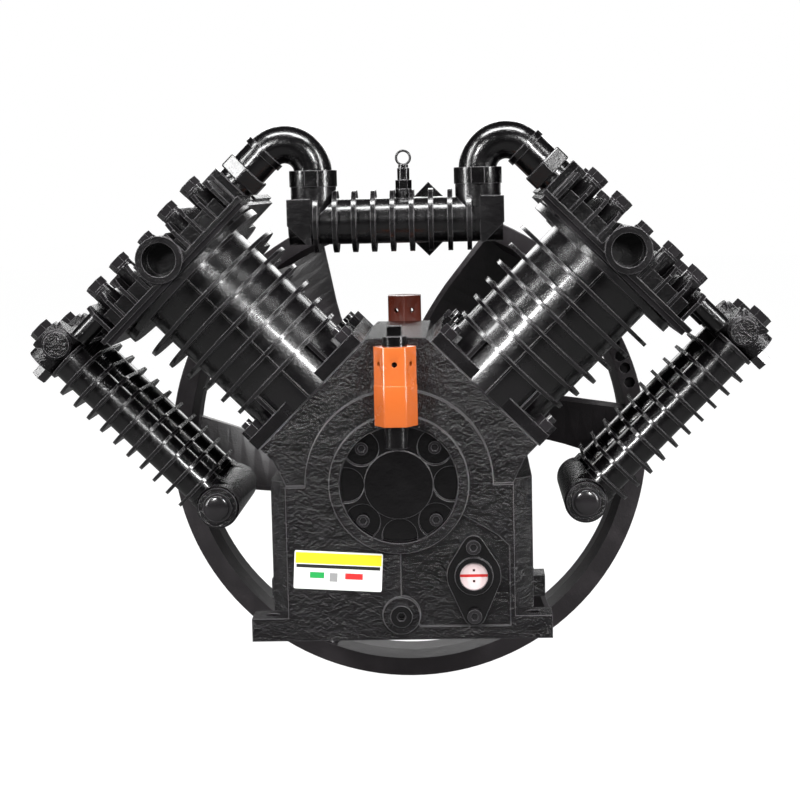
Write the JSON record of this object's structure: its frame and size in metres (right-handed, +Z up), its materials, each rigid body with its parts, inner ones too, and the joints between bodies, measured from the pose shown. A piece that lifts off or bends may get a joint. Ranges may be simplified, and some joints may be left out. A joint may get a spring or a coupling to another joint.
{
  "type": "air compressor pump head",
  "caption": "Belt-driven piston air compressor pump head: a V of finned cylinders and heads on a crankcase, with intercoolers, a finned collector and a fan flywheel.",
  "frame": {"origin": "centre of the four base bolts on the underside of the crankcase", "axes": "+X to the right seen from the front cover, +Y from the front cover to the flywheel along the crank, +Z up"},
  "size_m": [0.6868, 0.3789, 0.5706],
  "materials": {
    "cast_black": "glossy black paint over rough cast iron",
    "smooth_black": "glossy black paint over machined or smooth metal",
    "bolt_black": "black paint over steel fasteners",
    "wheel_black": "satin black paint over cast iron",
    "sleeve_orange": "glossy orange moulding",
    "steel": "machined steel",
    "alloy": "cast aluminium alloy",
    "gasket": "dark gasket sheet and seal rubber",
    "lens": "clear window with a red level line behind it"
  },
  "bodies": {
    "housing": {"crankcase": "cast_black", "front_cover": "smooth_black", "front_cover_bolts": "bolt_black", "rear_cover": "smooth_black", "rear_cover_bolts": "bolt_black", "rear_seal": "gasket", "front_bearing": "steel", "rear_bearing": "steel", "sight_glass_flange": "smooth_black", "sight_glass_lens": "lens", "sight_glass_bolts": "bolt_black", "drain_plug": "smooth_black", "breather_tube_front": "smooth_black", "breather_sleeve_front": "sleeve_orange", "breather_plug_front": "smooth_black", "breather_tube_rear": "smooth_black", "breather_sleeve_rear": "sleeve_orange", "base_gaskets": "gasket", "base_nuts": "bolt_black", "head_gaskets": "gasket", "valve_reeds": "steel", "head_bolts": "bolt_black", "cooler_plugs": "bolt_black", "elbow_unions": "smooth_black", "cylinder_block_left": "cast_black", "cylinder_block_right": "cast_black", "valve_plate_left": "steel", "valve_plate_right": "steel", "head_left": "cast_black", "head_right": "cast_black", "intercooler_left": "cast_black", "intercooler_right": "cast_black", "cooler_top_block_left": "cast_black", "cooler_top_block_right": "cast_black", "cooler_header_left": "cast_black", "cooler_header_right": "cast_black", "feed_pipes_left": "cast_black", "feed_pipes_right": "cast_black", "discharge_elbow_left": "smooth_black", "discharge_elbow_right": "smooth_black", "collector": "cast_black", "outlet_flange": "cast_black", "safety_valve_body": "smooth_black"},
    "crank": {"crankshaft": "steel", "flywheel": "wheel_black", "flywheel_key": "steel", "flywheel_bolt": "steel"},
    "safety_valve_pull": {"safety_valve_ring": "smooth_black"},
    "piston_low_left": {"piston_low_left": "alloy"},
    "rod_low_left": {"rod_low_left": "alloy"},
    "piston_low_right": {"piston_low_right": "alloy"},
    "rod_low_right": {"rod_low_right": "alloy"},
    "piston_high_left": {"piston_high_left": "alloy"},
    "rod_high_left": {"rod_high_left": "alloy"},
    "piston_high_right": {"piston_high_right": "alloy"},
    "rod_high_right": {"rod_high_right": "alloy"}
  },
  "joints": [
    {"name": "crank_spin", "type": "hinge", "parent": "housing", "child": "crank", "pos_m": [0, 0, 0.143], "axis": [0, 1, 0], "continuous": true},
    {"name": "safety_valve_lift", "type": "slide", "parent": "housing", "child": "safety_valve_pull", "axis": [0, 0, 1], "range_m": [0, 0.003], "stiffness_N_per_m": 2000, "springref_m": -0.001},
    {"name": "piston_low_left_stroke", "type": "slide", "parent": "housing", "child": "piston_low_left", "axis": [-0.7071, 0, 0.7071], "range_m": [-0.06622, 0.01378]},
    {"name": "rod_low_left_swing", "type": "hinge", "parent": "piston_low_left", "child": "rod_low_left", "pos_m": [-0.15643, -0.04, 0.29943], "axis": [0, -1, 0], "range_deg": [-20.18, 3.5]},
    {"name": "piston_low_right_stroke", "type": "slide", "parent": "housing", "child": "piston_low_right", "axis": [0.7071, 0, 0.7071], "range_m": [-0.06622, 0.01378]},
    {"name": "rod_low_right_swing", "type": "hinge", "parent": "piston_low_right", "child": "rod_low_right", "pos_m": [0.15643, -0.04, 0.29943], "axis": [0, 1, 0], "range_deg": [-20.18, 3.5]},
    {"name": "piston_high_left_stroke", "type": "slide", "parent": "housing", "child": "piston_high_left", "axis": [-0.7071, 0, 0.7071], "range_m": [-0.00965, 0.07035]},
    {"name": "rod_high_left_swing", "type": "hinge", "parent": "piston_high_left", "child": "rod_high_left", "pos_m": [-0.11643, 0.068, 0.25943], "axis": [0, 1, 0], "range_deg": [-20.18, 3.5]},
    {"name": "piston_high_right_stroke", "type": "slide", "parent": "housing", "child": "piston_high_right", "axis": [0.7071, 0, 0.7071], "range_m": [-0.00965, 0.07035]},
    {"name": "rod_high_right_swing", "type": "hinge", "parent": "piston_high_right", "child": "rod_high_right", "pos_m": [0.11643, 0.068, 0.25943], "axis": [0, -1, 0], "range_deg": [-20.18, 3.5]}
  ]
}
